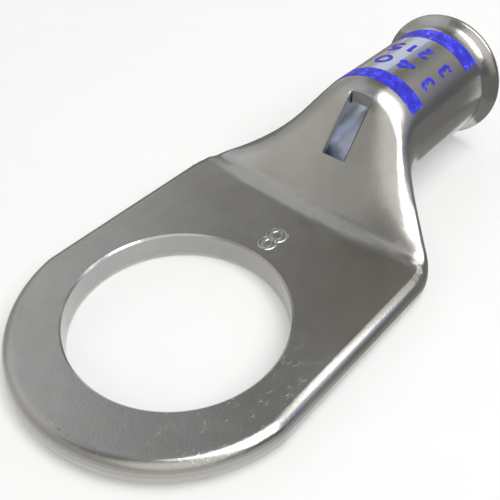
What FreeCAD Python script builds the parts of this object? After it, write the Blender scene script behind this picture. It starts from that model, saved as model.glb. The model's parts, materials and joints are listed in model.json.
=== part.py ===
import FreeCAD, Part
import os
from math import asin, atan, cos, pi, radians, sin, sqrt, tan

# A tin-plated copper cable lug, made from one length of tube: a round barrel with a flared
# mouth, an inspection window, and a front end pressed flat into a palm with one stud hole.
# Millimetres. The origin is the centre of the stud hole on the palm's underside, +X points
# along the barrel to its mouth, and +Z points up out of the palm.

# Palm
stud_hole_radius = 6.75
hole_chamfer = 0.12
palm_half_width = 9.76
palm_thickness = 1.87
palm_edge_radius = 0.8
nose_fullness = 0.14
nose_offset = 0.35
nose_corner_radius = 3.0

# Barrel
barrel_radius = 4.2
barrel_wall = 1.0
barrel_axis_height = 4.65
barrel_length = 8.32

# Flared mouth
flare_radius = 1.5
flare_angle = 50.0
flare_straight = 0.03
lip_radius = 0.3
mouth_rounding = 0.15

# Transition seen from above: the flanks run in from the shoulders to the barrel
shoulder_x = 12.87
flank_angle = 46.2
shoulder_radius = 3.9
neck_radius = 3.2

# Transition seen from the side: the top slopes up from the palm to the barrel
foot_x = 12.8
slope_angle = 52.1
foot_radius = 1.5
crest_radius = 3.1

# Cross sections of the transition: rings of eight tangent arcs, evenly spaced
ring_count = 31
blend_margin = 0.2
flattest_crown = 0.12
crown_angle = 60.3
crown_delay = 1.48
crown_lead = 0.95
crown_growth = 0.68
ridge_lead = 1.8
ridge_growth = 6.2
keel_fullness = 0.7
side_angle = 8.0

# Cavity under the slope, where the bore narrows to a slit between the pressed walls
oval_count = 9
oval_fullness = 0.7
slit_x = 12.9
slit_height = 0.3
slit_half_width = 7.0

# Inspection window through the sloping top wall
window_front_x = 15.1
window_length = 3.0
window_width = 1.74
window_chamfer = 0.09


def vec(x, y, z):
    return FreeCAD.Vector(x, y, z)


def smooth(value, start, end):
    """0 before start, 1 after end, and an even S between them."""
    share = min(max((value - start) / (end - start), 0.0), 1.0)
    return share * share * (3.0 - 2.0 * share)


def mix(first, last, share):
    return first + (last - first) * share


def ramp_end(corner_x, rise, angle, last_radius):
    """Where the last arc of a ramp runs out into its second level."""
    lean = radians(angle)
    return corner_x + abs(rise) / tan(lean) + last_radius * tan(lean / 2)


def ramp(x, level, corner_x, rise, angle, first_radius, last_radius):
    """Height at x of a level line, a straight slope and a level line, joined by two arcs."""
    lean = radians(angle)
    sense = 1.0 if rise > 0 else -1.0
    first_start = corner_x - first_radius * tan(lean / 2)
    first_end = first_start + first_radius * sin(lean)
    last_end = ramp_end(corner_x, rise, angle, last_radius)
    last_start = last_end - last_radius * sin(lean)
    if x <= first_start:
        return level
    if x < first_end:
        return level + sense * (first_radius - sqrt(first_radius ** 2 - (x - first_start) ** 2))
    if x <= last_start:
        return level + sense * (x - corner_x) * tan(lean)
    if x < last_end:
        return level + rise - sense * (last_radius - sqrt(last_radius ** 2 - (last_end - x) ** 2))
    return level + rise


# Lengths that follow from the sizes above
nose_radius = palm_half_width + nose_fullness
bore_radius = barrel_radius - barrel_wall
flank_rise = barrel_radius - palm_half_width
slope_rise = barrel_axis_height + barrel_radius - palm_thickness
shoulder_start_x = shoulder_x - shoulder_radius * tan(radians(flank_angle / 2))
foot_start_x = foot_x - foot_radius * tan(radians(slope_angle / 2))
blend_start_x = min(shoulder_start_x, foot_start_x) - blend_margin
neck_end_x = ramp_end(shoulder_x, flank_rise, flank_angle, neck_radius)
crest_end_x = ramp_end(foot_x, slope_rise, slope_angle, crest_radius)
blend_end_x = max(neck_end_x, crest_end_x) + blend_margin
crown_start_x = blend_start_x + crown_delay
crown_end_x = crest_end_x - crown_lead
ridge_end_x = crest_end_x - ridge_lead
flare_start_x = blend_end_x + barrel_length


def half_width_at(x):
    return ramp(x, palm_half_width, shoulder_x, flank_rise, flank_angle, shoulder_radius, neck_radius)


def top_at(x):
    return ramp(x, palm_thickness, foot_x, slope_rise, slope_angle, foot_radius, crest_radius)


def bottom_at(x):
    return (barrel_axis_height - barrel_radius) * smooth(x, blend_start_x, blend_end_x)


def arc_points(centre_y, centre_z, radius, start, end):
    """Three points on an arc, its angles turned from straight up towards +Y."""
    turns = (start, (start + end) / 2, end)
    return [(centre_y + radius * sin(turn), centre_z + radius * cos(turn)) for turn in turns]


def palm_ring_arcs():
    """The flat palm's ridge, side and lower corner on +Y."""
    inner = palm_half_width - palm_edge_radius
    upper = palm_thickness - palm_edge_radius
    ridge = arc_points(inner, upper, palm_edge_radius, 0, pi / 2)
    corner = arc_points(inner, palm_edge_radius, palm_edge_radius, pi / 2, pi)
    side = [ridge[2], (palm_half_width, palm_thickness / 2), corner[0]]
    return [ridge, side, corner]


def blend_ring_arcs(x):
    """The ridge, side and lower corner on +Y of the outer section at x. The crown above and
    the keel below are arcs that cross the middle and touch these three at their ends."""
    progress = smooth(x, blend_start_x, blend_end_x)
    crown_share = smooth(x, crown_start_x, crown_end_x) ** crown_growth
    crown = radians(mix(flattest_crown, crown_angle, crown_share))
    lean = radians(side_angle) * progress
    flat_side = palm_thickness - 2 * palm_edge_radius
    round_side = 2 * barrel_radius * sin(radians(side_angle))
    side_height = mix(flat_side, round_side, progress)
    side_radius = side_height / (2 * sin(lean))
    ridge_share = smooth(x, blend_start_x, ridge_end_x) ** ridge_growth
    ridge_radius = mix(palm_edge_radius, barrel_radius, ridge_share)
    half_width = half_width_at(x)
    reach = half_width - side_radius * (1 - cos(lean))
    crown_radius = (reach - ridge_radius * (cos(lean) - sin(crown))) / sin(crown)
    ridge_y = (crown_radius - ridge_radius) * sin(crown)
    ridge_z = top_at(x) - crown_radius + (crown_radius - ridge_radius) * cos(crown)
    side_z = ridge_z + ridge_radius * sin(lean) - side_height / 2
    drop = side_z - side_height / 2 - bottom_at(x)
    keel = 2 * atan(keel_fullness * progress * drop / reach)
    gap = cos(lean) - sin(keel)
    step = cos(keel) - sin(lean)
    lift = 1 - cos(keel)
    corner_radius = (drop * sin(keel) - reach * lift) / (step * sin(keel) - gap * lift)
    keel_radius = (reach - corner_radius * gap) / sin(keel)
    corner_y = (keel_radius - corner_radius) * sin(keel)
    corner_z = bottom_at(x) + keel_radius - (keel_radius - corner_radius) * cos(keel)
    ridge = arc_points(ridge_y, ridge_z, ridge_radius, crown, pi / 2 - lean)
    side = arc_points(half_width - side_radius, side_z, side_radius, pi / 2 - lean, pi / 2 + lean)
    corner = arc_points(corner_y, corner_z, corner_radius, pi / 2 + lean, pi - keel)
    return [ridge, side, corner]


def ring(x, right):
    """A closed section at x from the arcs of its +Y half, which is mirrored to -Y."""
    left = [[(-y, z) for y, z in reversed(arc)] for arc in reversed(right)]
    crown = [left[-1][-1], (0, top_at(x)), right[0][0]]
    keel = [right[-1][-1], (0, bottom_at(x)), left[0][0]]
    edges = []
    for arc in [crown] + right + [keel] + left:
        start, middle, end = [vec(x, y, z) for y, z in arc]
        bulge = (middle - (start + end) / 2).Length
        curve = Part.Arc(start, middle, end) if bulge > 1e-7 else Part.LineSegment(start, end)
        edges.append(curve.toShape())
    return Part.Wire(edges)


def transition_solid():
    """The loft that carries the palm's flat section into the barrel's circle."""
    stride = (blend_end_x - blend_start_x) / (ring_count - 1)
    rings = [ring(blend_start_x, palm_ring_arcs())]
    for number in range(1, ring_count):
        x = blend_start_x + stride * number
        rings.append(ring(x, blend_ring_arcs(x)))
    return Part.makeLoft(rings, True, False)


def palm_solid():
    """The flat plate up to the transition, its long and front edges rounded."""
    corner_y = palm_half_width - nose_corner_radius
    corner_reach = nose_radius - nose_corner_radius
    turn = asin(corner_y / corner_reach)
    half_turn = (turn + pi / 2) / 2
    corner_x = -nose_offset - corner_reach * cos(turn)
    middle_x = corner_x - nose_corner_radius * cos(half_turn)
    middle_y = corner_y + nose_corner_radius * sin(half_turn)
    rear = vec(blend_start_x, palm_half_width, 0)
    start = vec(corner_x, palm_half_width, 0)
    middle = vec(middle_x, middle_y, 0)
    meet = vec(-nose_offset - nose_radius * cos(turn), nose_radius * sin(turn), 0)
    tip = vec(-nose_offset - nose_radius, 0, 0)

    def across(point):
        return vec(point.x, -point.y, point.z)

    outline = Part.Wire([
        Part.LineSegment(rear, start).toShape(),
        Part.Arc(start, middle, meet).toShape(),
        Part.Arc(meet, tip, across(meet)).toShape(),
        Part.Arc(across(meet), across(middle), across(start)).toShape(),
        Part.LineSegment(across(start), across(rear)).toShape(),
        Part.LineSegment(across(rear), rear).toShape(),
    ])
    plate = Part.Face(outline).extrude(vec(0, 0, palm_thickness))
    rims = []
    for edge in plate.Edges:
        box = edge.BoundBox
        if box.ZLength < 1e-6 and box.XMin < blend_start_x - 1e-6:
            rims.append(edge)
    return plate.makeFillet(palm_edge_radius, rims)


def stud_hole_cutter():
    """The hole with a small chamfer at each rim."""
    hole = Part.makeCylinder(stud_hole_radius, palm_thickness)
    wide = stud_hole_radius + hole_chamfer
    lower = Part.makeCone(wide, stud_hole_radius, hole_chamfer)
    upper = Part.makeCone(stud_hole_radius, wide, hole_chamfer, vec(0, 0, palm_thickness - hole_chamfer))
    return hole.fuse([lower, upper])


def revolved(points_and_arcs):
    """A solid turned about the barrel's axis from lines and arcs given as (x, radius) points."""
    edges = []
    for piece in points_and_arcs:
        corners = [vec(x, 0, barrel_axis_height + radius) for x, radius in piece]
        curve = Part.Arc(*corners) if len(corners) == 3 else Part.LineSegment(*corners)
        edges.append(curve.toShape())
    face = Part.Face(Part.Wire(edges))
    return face.revolve(vec(0, 0, barrel_axis_height), vec(1, 0, 0), 360)


def flare_arc(radius):
    """The flare's bend at a distance from its centre, from the barrel outwards."""
    lean = radians(flare_angle)
    centre_radius = barrel_radius + flare_radius
    return [
        (flare_start_x + radius * sin(turn), centre_radius - radius * cos(turn))
        for turn in (0, lean / 2, lean)
    ]


def lip_arc():
    """The rounded outer rim of the mouth, from the flare's back to the mouth's face."""
    lean = radians(flare_angle)
    bend_end = flare_arc(flare_radius)[2]
    back = (bend_end[0] + flare_straight * cos(lean), bend_end[1] + flare_straight * sin(lean))
    centre = (back[0] + lip_radius * sin(lean), back[1] - lip_radius * cos(lean))
    middle = pi / 4 - lean / 2
    return [
        back,
        (centre[0] + lip_radius * sin(middle), centre[1] + lip_radius * cos(middle)),
        (centre[0] + lip_radius, centre[1]),
    ]


def barrel_solid():
    """The round barrel with its flared mouth, still filled."""
    bend = flare_arc(flare_radius)
    lip = lip_arc()
    mouth_x = lip[2][0]
    return revolved([
        [(blend_end_x, 0), (blend_end_x, barrel_radius)],
        [(blend_end_x, barrel_radius), bend[0]],
        bend,
        [bend[2], lip[0]],
        lip,
        [lip[2], (mouth_x, 0)],
        [(mouth_x, 0), (blend_end_x, 0)],
    ])


def bore_cutter():
    """The bore and the inside of the flare, run on past the mouth's face."""
    bend = flare_arc(flare_radius + barrel_wall)
    lean = radians(flare_angle)
    beyond = (bend[2][0] + barrel_wall * cos(lean), bend[2][1] + barrel_wall * sin(lean))
    return revolved([
        [(blend_end_x, 0), (blend_end_x, bore_radius)],
        [(blend_end_x, bore_radius), bend[0]],
        bend,
        [bend[2], beyond],
        [beyond, (beyond[0], 0)],
        [(beyond[0], 0), (blend_end_x, 0)],
    ])


def oval(x):
    """The cavity's section at x: four tangent arcs, from a thin slit to the bore's circle."""
    share = (x - slit_x) / (blend_end_x - slit_x)
    wall = mix((palm_thickness - slit_height) / 2, barrel_wall, share)
    side_wall = mix(half_width_at(slit_x) - slit_half_width, barrel_wall, share)
    half_width = half_width_at(x) - side_wall
    half_height = (top_at(x) - bottom_at(x)) / 2 - wall
    middle_z = (top_at(x) + bottom_at(x)) / 2
    lean = 2 * atan(oval_fullness * half_height / half_width)
    lift = 1 - cos(lean)
    gap = 1 - sin(lean)
    side_radius = (half_height * sin(lean) - half_width * lift) / (cos(lean) * sin(lean) - gap * lift)
    roof_radius = (half_width - side_radius * gap) / sin(lean)
    side_y = (roof_radius - side_radius) * sin(lean)
    roof = arc_points(0, middle_z + half_height - roof_radius, roof_radius, -lean, lean)
    right = arc_points(side_y, middle_z, side_radius, lean, pi - lean)
    floor = arc_points(0, middle_z - half_height + roof_radius, roof_radius, pi - lean, pi + lean)
    left = [(-y, z) for y, z in reversed(right)]
    edges = [Part.Arc(*[vec(x, y, z) for y, z in arc]).toShape() for arc in (roof, right, floor, left)]
    return Part.Wire(edges)


def cavity_cutter():
    stride = (blend_end_x - slit_x) / (oval_count - 1)
    return Part.makeLoft([oval(slit_x + stride * number) for number in range(oval_count)], True, False)


def window_cutter():
    """A straight punch from above that ends halfway down into the cavity."""
    cavity_middle = (bottom_at(window_front_x) + top_at(window_front_x)) / 2
    height = barrel_axis_height + 2 * barrel_radius - cavity_middle
    corner = vec(window_front_x, -window_width / 2, cavity_middle)
    return Part.makeBox(window_length, window_width, height, corner)


def soften_window(body):
    """A small chamfer round the window where it breaks the sloping top."""
    rear_x = window_front_x + window_length
    rims = []
    for edge in body.Edges:
        box = edge.BoundBox
        inside_x = box.XMin > window_front_x - 0.01 and box.XMax < rear_x + 0.01
        inside_y = abs(box.YMin) < window_width / 2 + 0.01 and abs(box.YMax) < window_width / 2 + 0.01
        on_top = box.ZMax > top_at(box.XMax) - barrel_wall / 2
        if inside_x and inside_y and on_top:
            rims.append(edge)
    return body.makeChamfer(window_chamfer, rims)


def soften_mouth(body):
    """A rounding on the inner edge of the mouth's flat face, where the cable goes in."""
    mouth_x = lip_arc()[2][0]
    rims = []
    for edge in body.Edges:
        box = edge.BoundBox
        if box.XMin > mouth_x - 1e-3 and box.ZMax < barrel_axis_height + barrel_radius:
            rims.append(edge)
    return body.makeFillet(mouth_rounding, rims)


def cable_lug():
    body = palm_solid().fuse([transition_solid().cut(cavity_cutter()), barrel_solid()])
    body = body.removeSplitter()
    for cutter in (bore_cutter(), window_cutter(), stud_hole_cutter()):
        body = body.cut(cutter)
    return soften_mouth(soften_window(body)).Solids[0]


os.makedirs("parts", exist_ok=True)
cable_lug().exportStep("parts/cable_lug.step")
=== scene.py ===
"""The looks of the tin-plated cable lug: plating, printed bands and digits, a stamped digit,
and a plain pale studio. Sizes are in millimetres here and become metres where they are used."""
import json
from math import cos, pi, radians, sin

import bpy
from mathutils import Euler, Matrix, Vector
from mathutils.bvhtree import BVHTree

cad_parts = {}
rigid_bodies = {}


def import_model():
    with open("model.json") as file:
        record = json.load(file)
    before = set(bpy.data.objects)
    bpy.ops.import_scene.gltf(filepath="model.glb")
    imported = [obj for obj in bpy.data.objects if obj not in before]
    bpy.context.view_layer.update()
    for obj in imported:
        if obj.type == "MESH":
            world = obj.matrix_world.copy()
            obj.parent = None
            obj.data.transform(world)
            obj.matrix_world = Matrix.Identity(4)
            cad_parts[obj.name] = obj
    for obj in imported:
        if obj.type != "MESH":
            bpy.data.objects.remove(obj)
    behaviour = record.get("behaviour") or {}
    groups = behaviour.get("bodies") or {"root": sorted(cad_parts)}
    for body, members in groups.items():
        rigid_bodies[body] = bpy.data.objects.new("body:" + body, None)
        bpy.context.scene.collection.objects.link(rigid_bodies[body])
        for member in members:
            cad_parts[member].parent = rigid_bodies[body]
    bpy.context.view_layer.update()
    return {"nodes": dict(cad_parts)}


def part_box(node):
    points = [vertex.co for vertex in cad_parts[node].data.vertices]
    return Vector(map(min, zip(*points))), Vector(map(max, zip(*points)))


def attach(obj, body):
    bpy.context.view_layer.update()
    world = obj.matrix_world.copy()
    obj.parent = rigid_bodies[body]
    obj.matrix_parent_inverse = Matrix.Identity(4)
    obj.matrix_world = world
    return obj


MM = 0.001

# The barrel and the palm, as in the CAD source
BARREL_RADIUS = 4.2
BARREL_AXIS_Z = 4.65
PALM_TOP_Z = 1.87
DEGREES_PER_MM = 180 / pi / BARREL_RADIUS

# The walls inside the barrel, which get painted bluish light: a range of radii and a range along X
BORE_RADII = (3.5, 3.9)
BORE_START_X = (17.9, 18.2)

# The foot, where the palm turns up into the slope: each range is a rise and a fall
SEAM_X = ((10.3, 10.6), (11.25, 11.45))
SEAM_Y = ((-9, -8.8), (8.8, 9))
SEAM_LEVEL = 8
FOOT_X = ((11.4, 12.3), (12.3, 13.1))
FOOT_LEAN = 0.34
SHOULDER_X = ((12.3, 12.8), (13.2, 14))
SHOULDER_LEAN = 0.24
# The crease near the foot's -Y end gets painted shade and more roughness: its range along X and its
# strength
CREASE_X = ((12.2, 13.0), (13.5, 14.6))
CREASE_SHADE_SHARE = 0.62

# Noise patterns: scale per metre, detail and roughness
CLOUDS = (160, 3, 0.55)
FINE_CLOUDS = (700, 2, 0.5)
GRAIN = (8000, 2, 0.6)
DIMPLES = (1500, 2, 0.5)
SCUFF_LINES = (2600, 1, 0.5)
SCUFF_PATCHES = (1100, 2, 0.5)
INK_CLOUDS = (900, 4, 0.65)
INK_SPECKS = (6400, 2, 0.7)
FLOOR_CLOUDS = (300, 2, 0.5)

# Drawn lines: noise in coordinates that are stretched first, so its own scale is 1
DRAWN_STRETCH = (90, 2600, 2600)
DRAWN_LINES = (1, 2, 0.5)

# Colours
TIN_DARK = (0.475, 0.468, 0.45)
TIN_LIGHT = (0.525, 0.518, 0.50)
TIN_FINE = (0.43, 0.425, 0.415)
# Painted shade in the crease near the foot
TIN_CREASE_SHADE = (0.14, 0.13, 0.12)
# Painted bluish light on the walls inside the barrel
TIN_INSIDE_PAINTED_LIGHT = (0.62, 0.65, 0.71)
INK_DARK = (0.006, 0.006, 0.50)
INK_LIGHT = (0.04, 0.038, 0.98)
INK_THIN = (0.34, 0.35, 0.80)
FLOOR_DARK = (0.795, 0.795, 0.795)
FLOOR_LIGHT = (0.805, 0.805, 0.805)

# The ink bands: start and end along X, then first and last degrees from straight up towards +Y
BANDS = (
    ("ink_band_rear", 19.36, 20.74, -50, 62),
    ("ink_band_front", 26.72, 28.24, -49, 62),
)
BAND_ROWS = 14
BAND_COLUMNS = 150

# Uneven print: a band's edges, its first end with a notch, and the waves as (share, rate)
EDGE_WOBBLE = 0.012
EDGE_RATE = 0.5
END_WOBBLE_DEGREES = 0.9
END_RATE = 9
NOTCH_DEGREES = 3.2
NOTCH_START = 0.52
NOTCH_END = 0.62
WAVES = ((1, 2.3), (0.6, 5.1), (0.4, 11.7))

# The printed rows: X of the digits' tops, their height, then each digit's degrees and width
NUMBER_ROWS = (
    ("ink_row_rear", 21.72, 1.38, ((-36, "3", 0.92), (-8, "4", 1.5), (17, "0", 1.5))),
    (
        "ink_row_front", 24.02, 1.42,
        ((-36, "3", 0.92), (-11, "2", 1.05), (4.5, "1", 0.8), (22, "5", 1.3)),
    ),
)
INK_LIFT = 0.012
LATER_STROKE_LIFT = 0.002
STROKE_WIDTH = 0.3
STROKE_STEP = 0.06

# Curved strokes: degrees between points, and the fewest parts of an arc
ARC_STEP = 9
ARC_PARTS = 6

# The stamped digit on the palm
STAMP_DIGIT = "8"
STAMP_CENTRE = (8.55, -0.2)
STAMP_HEIGHT = 1.95
STAMP_WIDTH = 0.62 * STAMP_HEIGHT
STAMP_STROKE = 0.3
STAMP_RISE = 0.035
STAMP_STEP = 0.05

# A punched stroke from its left side to its middle: shares of its half width and of its rise
STAMP_PROFILE = ((-1.5, -0.004), (-1.25, 0.5), (-1.0, 1.0), (-0.7, 0.6), (-0.35, 0.15), (0.0, 0.06))

# The surroundings: a grey, then soft patches of it. A patch has azimuth, elevation, inner and
# outer radius in degrees, its colour, and how the colour is combined with what lies under it.
WORLD_GREY = (0.50, 0.49, 0.465)
PATCHES = (
    (84, 54, 8, 39, (0.172, 0.192, 0.232), "ADD"),
    (122, 31, 6, 28, (0.165, 0.158, 0.14), "ADD"),
    (-136, 46, 8, 36, (0.54, 0.53, 0.50), "ADD"),
    (-62, -2, 28, 62, (0.33, 0.32, 0.29), "SUBTRACT"),
    (24, 54, 6, 30, (0.33, 0.33, 0.335), "SUBTRACT"),
    (105, 78, 5, 20, (0.24, 0.24, 0.23), "SUBTRACT"),
    (158, 60, 4, 17, (0.24, 0.24, 0.23), "SUBTRACT"),
    (30, 20, 6, 17, (0.48, 0.58, 0.90), "ADD"),
    (-48, 34, 5, 24, (0.30, 0.31, 0.50), "ADD"),
)

# The lamp
LAMP_CENTRE = (48, -190, 300)
LAMP_SIZE = (152, 400)
LAMP_WATTS = 0.77

# The cards on the floor: their height, the disc in the stud hole, and the ring's upright edge
CARD_Z = 0.05
HOLE_CARD_RADIUS = 6.6
RING_TOP = 2.6
RING_RISE = 4.4
RING_RISE_START_X = 8
RING_RISE_LENGTH = 12

# The ring's inner and outer outline: points on -Y, radius round the nose, points on +Y
RING_INNER = (
    ((38, -4.6), (19.5, -4.6), (12.5, -10.4), (0, -10.5)),
    10.95,
    ((0, 10.8), (12.5, 10.6), (19.5, 4.6), (38, 4.6)),
)
RING_OUTER = (
    ((38, -10.5), (21, -10.5), (12, -14.5), (0, -15)),
    15,
    ((0, 15), (12, 14.5), (21, 10.5), (38, 10.5)),
)
NOSE_DEGREES = range(-100, -261, -16)

# The bright card high above the mouth, mostly on -Y
SIDE_CARD_Z = 50
SIDE_CARD_OUTLINE = ((26, -40), (38, -40), (42, -80), (60, -80), (60, 2), (26, 2))
SIDE_CARD_GLOW = 2.2
SIDE_CARD_LEAST_GLOW = 0.6

# The floor: X of the lug's two lowest places, the gap under them, half its side, its added white
NOSE_FOOT_X = -9.45
RIM_FOOT_X = 29.67
FLOOR_GAP = 0.002
FLOOR_HALF = 900
FLOOR_LIFT = 0.19

# The camera, fitted to the stud hole's and the palm's outlines in the photograph
IMAGE_PIXELS = 500
FOCAL_PIXELS = 707.12
SENSOR_WIDTH = 36
CAMERA_SHIFT_X = 0.00158
CAMERA_SHIFT_Y = -0.02006
CAMERA_PLACE = (-18.09, -21.24, 33.27)
CAMERA_DEGREES_DOWN = 42.89
CAMERA_AZIMUTH = 40.85
CAMERA_NEAREST = 1
CAMERA_FARTHEST = 10000

# The mix node's sockets for colours, which have the same names as those for numbers
MIX_FIRST, MIX_SECOND, MIX_RESULT = 6, 7, 2


def link(obj):
    """Put an object in the scene."""
    bpy.context.scene.collection.objects.link(obj)
    return obj


def mesh_of(name, points, faces, made):
    """A mesh of one material from points in millimetres."""
    mesh = bpy.data.meshes.new(name)
    mesh.from_pydata([Vector(point) * MM for point in points], [], faces)
    mesh.materials.append(made)
    return mesh


def mesh_piece(name, points, faces, made):
    """A smooth mesh piece of the lug from points in millimetres."""
    mesh = mesh_of(name, points, faces, made)
    for polygon in mesh.polygons:
        polygon.use_smooth = True
    piece = link(bpy.data.objects.new(name, mesh))
    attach(piece, "root")
    return piece


# Materials

class Nodes:
    """Short calls to add and join shader nodes."""

    def __init__(self, tree):
        self.tree = tree
        tree.nodes.clear()

    def add(self, kind, **values):
        """A new node with some of its settings."""
        node = self.tree.nodes.new(kind)
        for key, value in values.items():
            setattr(node, key, value)
        return node

    def join(self, source, target):
        """A link from an output to an input."""
        self.tree.links.new(source, target)

    def put(self, value, socket):
        """Join another node's output to an input, or set the input to a plain value."""
        if isinstance(value, bpy.types.NodeSocket):
            self.join(value, socket)
        else:
            socket.default_value = value

    def math(self, operation, *values):
        """The result of a calculation with numbers."""
        node = self.add("ShaderNodeMath", operation=operation)
        for value, socket in zip(values, node.inputs):
            self.put(value, socket)
        return node.outputs["Value"]

    def times(self, product, *factors):
        """The product of two or more numbers."""
        for factor in factors:
            product = self.math("MULTIPLY", product, factor)
        return product

    def vectors(self, operation, *values, result="Vector"):
        """The result of a calculation with vectors, itself a vector or, as Value, a number."""
        node = self.add("ShaderNodeVectorMath", operation=operation)
        for value, socket in zip(values, node.inputs):
            self.put(value, socket)
        return node.outputs[result]

    def axes(self, vector):
        """The X, Y and Z of a vector."""
        node = self.add("ShaderNodeSeparateXYZ")
        self.join(vector, node.inputs["Vector"])
        return [node.outputs[axis] for axis in "XYZ"]

    def noise(self, coords, pattern):
        """Noise from 0 to 1, its pattern given as scale, detail and roughness."""
        node = self.add("ShaderNodeTexNoise")
        for name, number in zip(("Scale", "Detail", "Roughness"), pattern):
            node.inputs[name].default_value = number
        self.join(coords, node.inputs["Vector"])
        return node.outputs["Fac"]

    def stretch(self, coords, scale):
        """The coordinates times a factor for each axis."""
        node = self.add("ShaderNodeMapping")
        node.inputs["Scale"].default_value = scale
        self.join(coords, node.inputs["Vector"])
        return node.outputs["Vector"]

    def span(self, value, low, high, to_low, to_high):
        """A smooth change from one number at low to another at high."""
        node = self.add("ShaderNodeMapRange", interpolation_type="SMOOTHSTEP")
        names = ("From Min", "From Max", "To Min", "To Max")
        for name, number in zip(names, (low, high, to_low, to_high)):
            node.inputs[name].default_value = number
        self.join(value, node.inputs["Value"])
        return node.outputs["Result"]

    def marks(self, place, low, high, to_low, to_high):
        """The same smooth change, for a place between two marks in millimetres."""
        return self.span(place, low * MM, high * MM, to_low, to_high)

    def band(self, place, rise, fall):
        """1 between a rise and a fall, each given as two millimetre marks, and 0 outside."""
        return self.times(self.marks(place, *rise, 0, 1), self.marks(place, *fall, 1, 0))

    def blend(self, factor, first, second, kind="MIX"):
        """Two colours combined, each a tuple or another node's output."""
        node = self.add("ShaderNodeMix", data_type="RGBA", blend_type=kind)
        self.join(factor, node.inputs["Factor"])
        for index, colour in ((MIX_FIRST, first), (MIX_SECOND, second)):
            opaque = (*colour, 1.0) if isinstance(colour, tuple) else colour
            self.put(opaque, node.inputs[index])
        return node.outputs[MIX_RESULT]

    def bump(self, height, strength, distance):
        """A bump node, its distance in millimetres."""
        node = self.add("ShaderNodeBump")
        node.inputs["Strength"].default_value = strength
        node.inputs["Distance"].default_value = distance * MM
        self.join(height, node.inputs["Height"])
        return node


def material(name):
    """A new material with its nodes, its shader and the object's coordinates."""
    made = bpy.data.materials.new(name)
    made.use_nodes = True
    nodes = Nodes(made.node_tree)
    shader = nodes.add("ShaderNodeBsdfPrincipled")
    output = nodes.add("ShaderNodeOutputMaterial")
    nodes.join(shader.outputs["BSDF"], output.inputs["Surface"])
    coords = nodes.add("ShaderNodeTexCoord").outputs["Object"]
    return made, nodes, shader, coords


def inside_barrel(nodes, coords, x):
    """1 on the bore's and cavity's walls, where the colour is lifted to a brighter, bluish painted
    light, and 0 outside.
    """
    offset = nodes.vectors("SUBTRACT", coords, (0, 0, BARREL_AXIS_Z * MM))
    reach = nodes.vectors("LENGTH", nodes.stretch(offset, (0, 1, 1)), result="Value")
    return nodes.times(nodes.marks(reach, *BORE_RADII, 1, 0), nodes.marks(x, *BORE_START_X, 0, 1))


def painted_crease_shade(nodes, x, y):
    """How much painted shade darkens the plating, which is also made rougher, in the crease near the
    foot's -Y end, 0 elsewhere.
    """
    return nodes.times(
        nodes.band(x, *CREASE_X),
        nodes.marks(y, -7.5, -1.5, CREASE_SHADE_SHARE, 0),
        nodes.marks(y, -8.4, -7.6, 0, 1),
    )


def soft_foot(nodes, x, y):
    """The surface's direction, eased where the palm turns up into the worn slope."""
    facing_x, _, facing_z = nodes.axes(nodes.add("ShaderNodeTexCoord").outputs["Normal"])
    upward = nodes.span(facing_z, 0.35, 0.7, 0, 1)
    seam = nodes.band(x, *SEAM_X)

    # Along the foot the direction leans towards the nose, less and less towards both long edges
    lean = nodes.times(
        nodes.band(x, *FOOT_X),
        nodes.marks(y, -7, -1, 0, -FOOT_LEAN),
        nodes.marks(y, 4.5, 9.2, 1, 0),
    )

    # On the strip before the foot it loses its tilt along X and is levelled
    lean = nodes.math("SUBTRACT", lean, nodes.times(seam, facing_x))
    level = nodes.times(seam, nodes.band(y, *SEAM_Y), nodes.span(facing_z, 0.5, 0.7, 0, SEAM_LEVEL))

    # At the foot's -Y end it leans towards the nose and outwards
    shoulder = nodes.times(
        nodes.band(x, *SHOULDER_X),
        nodes.marks(y, -8.8, -7.8, -SHOULDER_LEAN, 0),
    )

    amount = nodes.add("ShaderNodeCombineXYZ")
    nodes.join(nodes.times(nodes.math("ADD", lean, shoulder), upward), amount.inputs["X"])
    nodes.join(nodes.times(shoulder, upward), amount.inputs["Y"])
    nodes.join(level, amount.inputs["Z"])
    turned = nodes.add("ShaderNodeVectorTransform", vector_type="VECTOR")
    turned.convert_from = "OBJECT"
    turned.convert_to = "WORLD"
    nodes.join(amount.outputs["Vector"], turned.inputs["Vector"])
    normal = nodes.add("ShaderNodeNewGeometry").outputs["Normal"]
    return nodes.vectors("NORMALIZE", nodes.vectors("ADD", normal, turned.outputs["Vector"]))


def scuffs(nodes, coords, x):
    """Short thin squiggles in scattered patches, most of them towards the palm's nose."""
    wander = nodes.math("SUBTRACT", nodes.noise(coords, SCUFF_LINES), 0.5)
    line = nodes.span(nodes.math("ABSOLUTE", wander), 0.006, 0.026, 1, 0)
    patch = nodes.span(nodes.noise(coords, SCUFF_PATCHES), 0.48, 0.60, 0, 1)
    where = nodes.times(patch, nodes.marks(x, -2, 9, 1, 0.15))
    return nodes.times(line, where)


def tin_relief(nodes, coords, x):
    """The plating's height: dimples, fine grain, faint drawn lines and scuffs."""
    layers = (
        (nodes.noise(coords, GRAIN), 0.7),
        (nodes.noise(nodes.stretch(coords, DRAWN_STRETCH), DRAWN_LINES), 0.35),
        (scuffs(nodes, coords, x), 0.26),
    )
    height = nodes.times(nodes.noise(coords, DIMPLES), 0.45)
    for layer, share in layers:
        height = nodes.math("MULTIPLY_ADD", layer, share, height)
    return height


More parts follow.
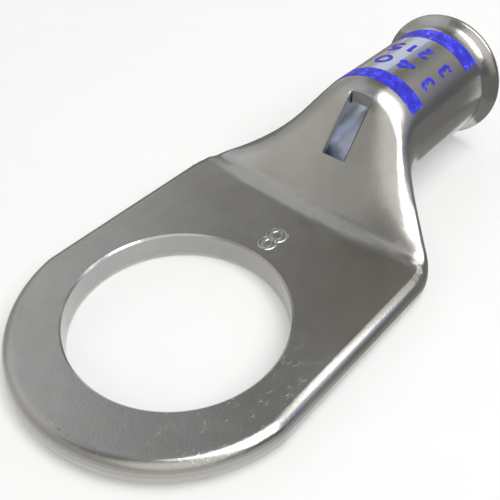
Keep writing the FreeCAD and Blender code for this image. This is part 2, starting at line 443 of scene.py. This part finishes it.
def tin_plating():
    """Satin tin plate: cloudy warm grey with a fine relief, painted shade and more roughness in the
    crease, and painted bluish light on the inner walls.
    """
    made, nodes, shader, coords = material("tin_plating")
    x, y, _ = nodes.axes(coords)
    cloud = nodes.noise(coords, CLOUDS)
    crease = painted_crease_shade(nodes, x, y)
    fine = nodes.span(nodes.noise(coords, FINE_CLOUDS), 0.3, 0.7, 0, 1)
    colour = nodes.blend(nodes.span(cloud, 0.35, 0.65, 0, 1), TIN_DARK, TIN_LIGHT)
    colour = nodes.blend(nodes.times(fine, 0.25), colour, TIN_FINE)
    # Painted shade darkens the crease near the foot
    colour = nodes.blend(crease, colour, TIN_CREASE_SHADE)
    # Painted bluish light on the walls inside the barrel
    colour = nodes.blend(inside_barrel(nodes, coords, x), colour, TIN_INSIDE_PAINTED_LIGHT)
    nodes.join(colour, shader.inputs["Base Color"])
    shader.inputs["Metallic"].default_value = 1.0
    roughness = nodes.math("MULTIPLY_ADD", cloud, 0.06, 0.155)
    roughness = nodes.math("MULTIPLY_ADD", crease, 0.35, roughness)
    nodes.join(roughness, shader.inputs["Roughness"])
    bump = nodes.bump(tin_relief(nodes, coords, x), 0.6, 0.016)
    nodes.join(soft_foot(nodes, x, y), bump.inputs["Normal"])
    nodes.join(bump.outputs["Normal"], shader.inputs["Normal"])
    return made


def blue_ink():
    """Screen-printed ink: mottled blue with a thin broken film where the metal shows."""
    made, nodes, shader, coords = material("blue_ink")
    cloud = nodes.noise(coords, INK_CLOUDS)
    speck = nodes.noise(coords, INK_SPECKS)
    colour = nodes.blend(nodes.span(cloud, 0.35, 0.7, 0, 1), INK_DARK, INK_LIGHT)
    thin = nodes.times(nodes.span(cloud, 0.47, 0.66, 0.08, 1), nodes.span(speck, 0.53, 0.62, 0, 1))
    colour = nodes.blend(thin, colour, INK_THIN)
    nodes.join(colour, shader.inputs["Base Color"])
    shader.inputs["Roughness"].default_value = 0.55
    bump = nodes.bump(speck, 0.4, 0.01)
    nodes.join(bump.outputs["Normal"], shader.inputs["Normal"])
    return made


def pale_floor():
    """White sweep: plain diffuse, lifted to white for the camera and for the metal's reflections."""
    made, nodes, shader, coords = material("pale_floor")
    grain = nodes.span(nodes.noise(coords, FLOOR_CLOUDS), 0.3, 0.7, 0, 1)
    nodes.join(nodes.blend(grain, FLOOR_DARK, FLOOR_LIGHT), shader.inputs["Base Color"])
    shader.inputs["Roughness"].default_value = 1.0
    shader.inputs["Specular IOR Level"].default_value = 0.0
    path = nodes.add("ShaderNodeLightPath")
    seen = nodes.math("MAXIMUM", path.outputs["Is Camera Ray"], path.outputs["Is Glossy Ray"])
    seen = nodes.math("MAXIMUM", seen, path.outputs["Is Transmission Ray"])
    shader.inputs["Emission Color"].default_value = (1, 1, 1, 1)
    nodes.join(nodes.times(seen, FLOOR_LIFT), shader.inputs["Emission Strength"])
    return made


# Print

def on_barrel(skin, x, degrees, lift):
    """A point above the lug's skin at x and an angle round the barrel from straight up towards +Y."""
    turn = radians(degrees)
    outward = Vector((0, sin(turn), cos(turn)))
    axis = Vector((x, 0, BARREL_AXIS_Z))
    hit = skin.ray_cast((axis + outward * 3 * BARREL_RADIUS) * MM, -outward)[0]
    return hit / MM + outward * lift


def ragged(value, amount, seed):
    """A small fixed wobble that makes a printed edge uneven."""
    waves = enumerate(WAVES, 1)
    return amount * sum(share * sin(value * rate + number * seed) for number, (share, rate) in waves)


def ink_band(name, start, end, first, last, skin, ink, seed):
    """A printed ring segment with two uneven edges and an uneven, notched first end."""
    points, faces = [], []
    edge_seeds = {0: seed, BAND_ROWS: seed + 1}
    for i in range(BAND_ROWS + 1):
        share = i / BAND_ROWS
        notch = NOTCH_DEGREES if NOTCH_START < share < NOTCH_END else 0
        row_first = first + ragged(share * END_RATE, END_WOBBLE_DEGREES, seed) + notch
        for j in range(BAND_COLUMNS + 1):
            degrees = row_first + (last - row_first) * j / BAND_COLUMNS
            x = start + (end - start) * share
            if i in edge_seeds:
                x += ragged(degrees * EDGE_RATE, EDGE_WOBBLE, edge_seeds[i])
            points.append(on_barrel(skin, x, degrees, INK_LIFT))
    for i in range(BAND_ROWS):
        for j in range(BAND_COLUMNS):
            a = i * (BAND_COLUMNS + 1) + j
            b = a + BAND_COLUMNS + 1
            faces.append((a, b, b + 1, a + 1))
    return mesh_piece(name, points, faces, ink)


def arc(cx, cy, rx, ry, start, end):
    """Points of an elliptical arc in a glyph's square, degrees anticlockwise from +x."""
    count = max(ARC_PARTS, int(abs(end - start) / ARC_STEP))
    angles = [radians(start + (end - start) * k / count) for k in range(count + 1)]
    return [(cx + rx * cos(a), cy + ry * sin(a)) for a in angles]


def glyph_strokes(digit):
    """Centrelines of a plain digit in a square from (0, 0) to (1, 1)."""
    return {
        "0": [arc(0.5, 0.5, 0.42, 0.5, 90, 450)],
        "1": [[(0.2, 0.74), (0.55, 1.0)], [(0.55, 1.0), (0.55, 0.0)]],
        "2": [arc(0.5, 0.7, 0.4, 0.3, 165, -30) + [(0.1, 0.0)], [(0.1, 0.0), (0.92, 0.0)]],
        "3": [arc(0.46, 0.74, 0.36, 0.26, 150, -90), arc(0.46, 0.25, 0.42, 0.27, 90, -150)],
        "4": [[(0.76, 0.0), (0.76, 1.0)], [(0.76, 1.0), (0.02, 0.26)], [(0.02, 0.26), (1.0, 0.26)]],
        "5": [
            [(0.86, 1.0), (0.2, 1.0)],
            [(0.2, 1.0), (0.14, 0.55)],
            arc(0.46, 0.32, 0.4, 0.32, 140, -150),
        ],
        "8": [arc(0.5, 0.74, 0.34, 0.26, 0, 360), arc(0.5, 0.25, 0.42, 0.27, 0, 360)],
    }[digit]


def resample(line, step):
    """The line with points about a step apart."""
    points = [line[0]]
    for (x0, y0), (x1, y1) in zip(line, line[1:]):
        dx, dy = x1 - x0, y1 - y0
        count = max(1, int((dx ** 2 + dy ** 2) ** 0.5 / step + 0.5))
        points += [(x0 + dx * k / count, y0 + dy * k / count) for k in range(1, count + 1)]
    return points


def sides(line, closed):
    """For each point of a line, the unit vector to its left."""
    found = []
    for k in range(len(line)):
        if closed:
            before, after = line[k - 1 if k else -2], line[k + 1 if k < len(line) - 1 else 1]
        else:
            before, after = line[max(k - 1, 0)], line[min(k + 1, len(line) - 1)]
        dx, dy = after[0] - before[0], after[1] - before[1]
        length = (dx * dx + dy * dy) ** 0.5
        found.append((-dy / length, dx / length))
    return found


def stroke_strip(line, profile, place, points, faces):
    """A strip along a line, its cross section given as (offset, height) pairs."""
    closed = abs(line[0][0] - line[-1][0]) + abs(line[0][1] - line[-1][1]) < 1e-6
    first = len(points)
    wide = len(profile)
    for (x, y), (nx, ny) in zip(line, sides(line, closed)):
        for offset, height in profile:
            points.append(place(x + nx * offset, y + ny * offset, height))
    for k in range(len(line) - 1):
        for j in range(wide - 1):
            a = first + k * wide + j
            faces.append((a, a + 1, a + wide + 1, a + wide))


def ink_row(name, top_x, height, glyphs, skin, ink):
    """A row of printed digits: their tops point to the palm and they read round the barrel."""
    points, faces = [], []
    half = STROKE_WIDTH / 2
    across = [-half, -half / 3, half / 3, half]
    for middle, digit, width in glyphs:

        def place(u, v, lift):
            degrees = middle + (u - width / 2) * DEGREES_PER_MM
            return on_barrel(skin, top_x + height - half - v, degrees, lift)

        for number, line in enumerate(glyph_strokes(digit)):
            lift = INK_LIFT + LATER_STROKE_LIFT * number
            profile = [(offset, lift) for offset in across]
            scaled = [(u * (width - STROKE_WIDTH) + half, v * (height - STROKE_WIDTH)) for u, v in line]
            stroke_strip(resample(scaled, STROKE_STEP), profile, place, points, faces)
    return mesh_piece(name, points, faces, ink)


# The stamped digit

def stamped_number(plating):
    """A small punched digit: raised burrs beside each stroke's shallow valley."""
    points, faces = [], []
    half = STAMP_STROKE / 2

    def place(u, v, lift):
        x = STAMP_CENTRE[0] + STAMP_HEIGHT / 2 - v
        return (x, STAMP_CENTRE[1] + u - STAMP_WIDTH / 2, PALM_TOP_Z + lift)

    mirrored = [(-offset, rise) for offset, rise in reversed(STAMP_PROFILE[:-1])]
    profile = [(offset * half, rise * STAMP_RISE) for offset, rise in (*STAMP_PROFILE, *mirrored)]
    for line in glyph_strokes(STAMP_DIGIT):
        scaled = [(u * STAMP_WIDTH, v * STAMP_HEIGHT) for u, v in line]
        stroke_strip(resample(scaled, STAMP_STEP), profile, place, points, faces)
    return mesh_piece("stamped_number", points, faces, plating)


# Studio

def towards(azimuth, elevation):
    """The unit vector of a direction, its azimuth turned from +X towards +Y."""
    a, e = radians(azimuth), radians(elevation)
    return Vector((cos(e) * cos(a), cos(e) * sin(a), sin(e)))


def set_world():
    """Soft grey surroundings with a few lighter and darker patches, as in a small studio."""
    world = bpy.data.worlds.new("studio")
    bpy.context.scene.world = world
    world.use_nodes = True
    nodes = Nodes(world.node_tree)
    background = nodes.add("ShaderNodeBackground")
    output = nodes.add("ShaderNodeOutputWorld")
    nodes.join(background.outputs["Background"], output.inputs["Surface"])
    direction = nodes.add("ShaderNodeTexCoord").outputs["Generated"]
    colour = WORLD_GREY
    for azimuth, elevation, inner, outer, tint, kind in PATCHES:
        middle = towards(azimuth, elevation)
        closeness = nodes.vectors("DOT_PRODUCT", direction, middle, result="Value")
        share = nodes.span(closeness, cos(radians(outer)), cos(radians(inner)), 0, 1)
        colour = nodes.blend(share, colour, tint, kind)
    nodes.join(colour, background.inputs["Color"])


def overhead_softbox():
    """A flat rectangular lamp that faces straight down."""
    lamp = bpy.data.lights.new("overhead_softbox", "AREA")
    lamp.shape = "RECTANGLE"
    lamp.size, lamp.size_y = (side * MM for side in LAMP_SIZE)
    lamp.energy = LAMP_WATTS
    softbox = link(bpy.data.objects.new("overhead_softbox", lamp))
    softbox.location = Vector(LAMP_CENTRE) * MM
    softbox.visible_camera = False


def card(name, points, faces, made):
    """A card that only the metal's reflections see, its points in millimetres."""
    sheet = link(bpy.data.objects.new(name, mesh_of(name, points, faces, made)))
    sheet.visible_camera = False
    sheet.visible_diffuse = False
    sheet.visible_shadow = False
    sheet.visible_transmission = False


def card_material(name, tint):
    """A glowing card's material, nodes, shader, and the X, Y and Z of its points."""
    made, nodes, shader, coords = material(name)
    shader.inputs["Base Color"].default_value = (0, 0, 0, 1)
    shader.inputs["Emission Color"].default_value = (*tint, 1)
    return made, nodes, shader, nodes.axes(coords)


def ring_outline(on_minus_y, radius, on_plus_y):
    """An outline from beside the mouth on -Y, round the nose, to beside the mouth on +Y."""
    turns = [radians(degrees) for degrees in NOSE_DEGREES]
    return [*on_minus_y, *((radius * cos(turn), radius * sin(turn)) for turn in turns), *on_plus_y]


def ring_card():
    """A sheet on the floor round the lug with a low upright card along its outer edge."""
    made, nodes, shader, (x, y, z) = card_material("grey_card", (1, 0.99, 0.96))

    # Darker beside the barrel on -Y, past the mouth, far out on +Y, towards +X and up the card
    tone = nodes.times(
        nodes.marks(nodes.math("MULTIPLY_ADD", x, -0.6, y), -20, -8, 0.6, 1),
        nodes.marks(x, 32, 40, 1, 0.6),
        nodes.marks(y, 8.5, 11, 1, 0.7),
        nodes.marks(nodes.math("MULTIPLY_ADD", y, 0.2, x), -8, 8, 0.8, 0.46),
        nodes.marks(z, 0.1, 0.6, 1, 0.8),
    )
    nodes.join(tone, shader.inputs["Emission Strength"])

    points, faces = [], []
    for (x0, y0), (x1, y1) in zip(ring_outline(*RING_INNER), ring_outline(*RING_OUTER)):
        top = RING_TOP + RING_RISE * min(max((x1 - RING_RISE_START_X) / RING_RISE_LENGTH, 0), 1)
        points += [(x0, y0, CARD_Z), (x1, y1, CARD_Z), (x1, y1, top)]
    for k in range(0, len(points) - 3, 3):
        faces += [(k, k + 3, k + 4, k + 1), (k + 1, k + 4, k + 5, k + 2)]
    card("ring_card", points, faces, made)


def hole_card():
    """A pale disc on the floor inside the stud hole, a little darker towards +X."""
    made, nodes, shader, (x, _, _) = card_material("pale_card", (0.99, 0.99, 1))
    nodes.join(nodes.marks(x, -6, 6, 0.85, 0.66), shader.inputs["Emission Strength"])
    turns = [radians(degrees) for degrees in range(0, 360, 10)]
    points = [(HOLE_CARD_RADIUS * cos(turn), HOLE_CARD_RADIUS * sin(turn), CARD_Z) for turn in turns]
    card("hole_card", points, [tuple(range(len(points)))], made)


def side_card():
    """A bright card high above the mouth, mostly on -Y, fading towards +X and far out on -Y."""
    made, nodes, shader, (x, y, _) = card_material("bright_card", (1, 0.985, 0.95))
    slant = nodes.math("MULTIPLY_ADD", y, 0.45, x)
    glow = nodes.times(nodes.marks(slant, 27, 36, 1, 0.1), nodes.marks(y, -60, -42, 0, 1))
    strength = nodes.math("MULTIPLY_ADD", glow, SIDE_CARD_GLOW, SIDE_CARD_LEAST_GLOW)
    nodes.join(strength, shader.inputs["Emission Strength"])
    points = [(*corner, SIDE_CARD_Z) for corner in SIDE_CARD_OUTLINE]
    card("side_card", points, [tuple(range(len(points)))], made)


def set_floor():
    """A sheet a hair under the nose's underside and the lowest point of the mouth's rim."""
    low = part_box("cable_lug")[0].z / MM
    slope = low / (RIM_FOOT_X - NOSE_FOOT_X)
    corners = [(a * FLOOR_HALF, b * FLOOR_HALF) for a, b in ((-1, -1), (1, -1), (1, 1), (-1, 1))]
    points = [(x, y, slope * (x - NOSE_FOOT_X) - FLOOR_GAP) for x, y in corners]
    mesh = mesh_of("floor", points, [(0, 1, 2, 3)], pale_floor())
    floor = link(bpy.data.objects.new("floor", mesh))


def set_camera():
    """The photograph's viewpoint."""
    camera = bpy.data.cameras.new("camera")
    camera.sensor_width = SENSOR_WIDTH
    camera.lens = FOCAL_PIXELS * SENSOR_WIDTH / IMAGE_PIXELS
    camera.shift_x = CAMERA_SHIFT_X
    camera.shift_y = CAMERA_SHIFT_Y
    camera.clip_start = CAMERA_NEAREST * MM
    camera.clip_end = CAMERA_FARTHEST * MM
    obj = link(bpy.data.objects.new("camera", camera))
    obj.location = Vector(CAMERA_PLACE) * MM
    obj.rotation_euler = Euler((radians(90 - CAMERA_DEGREES_DOWN), 0, radians(CAMERA_AZIMUTH - 90)))
    bpy.context.scene.camera = obj


# The scene

def skin_of(solid):
    """The solid's surface, on which points for the print are found."""
    corners = [solid.matrix_world @ vertex.co for vertex in solid.data.vertices]
    return BVHTree.FromPolygons(corners, [polygon.vertices for polygon in solid.data.polygons])


for thing in list(bpy.data.objects):
    bpy.data.objects.remove(thing)
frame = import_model()

plating = tin_plating()
ink = blue_ink()
lug = frame["nodes"]["cable_lug"]
lug.data.materials.clear()
lug.data.materials.append(plating)
skin = skin_of(lug)

for seed, (name, start, end, first, last) in enumerate(BANDS):
    ink_band(name, start, end, first, last, skin, ink, seed)
for name, top_x, height, glyphs in NUMBER_ROWS:
    ink_row(name, top_x, height, glyphs, skin, ink)
stamped_number(plating)

set_world()
overhead_softbox()
ring_card()
hole_card()
side_card()
set_floor()
set_camera()
bpy.context.scene.view_settings.view_transform = "Standard"
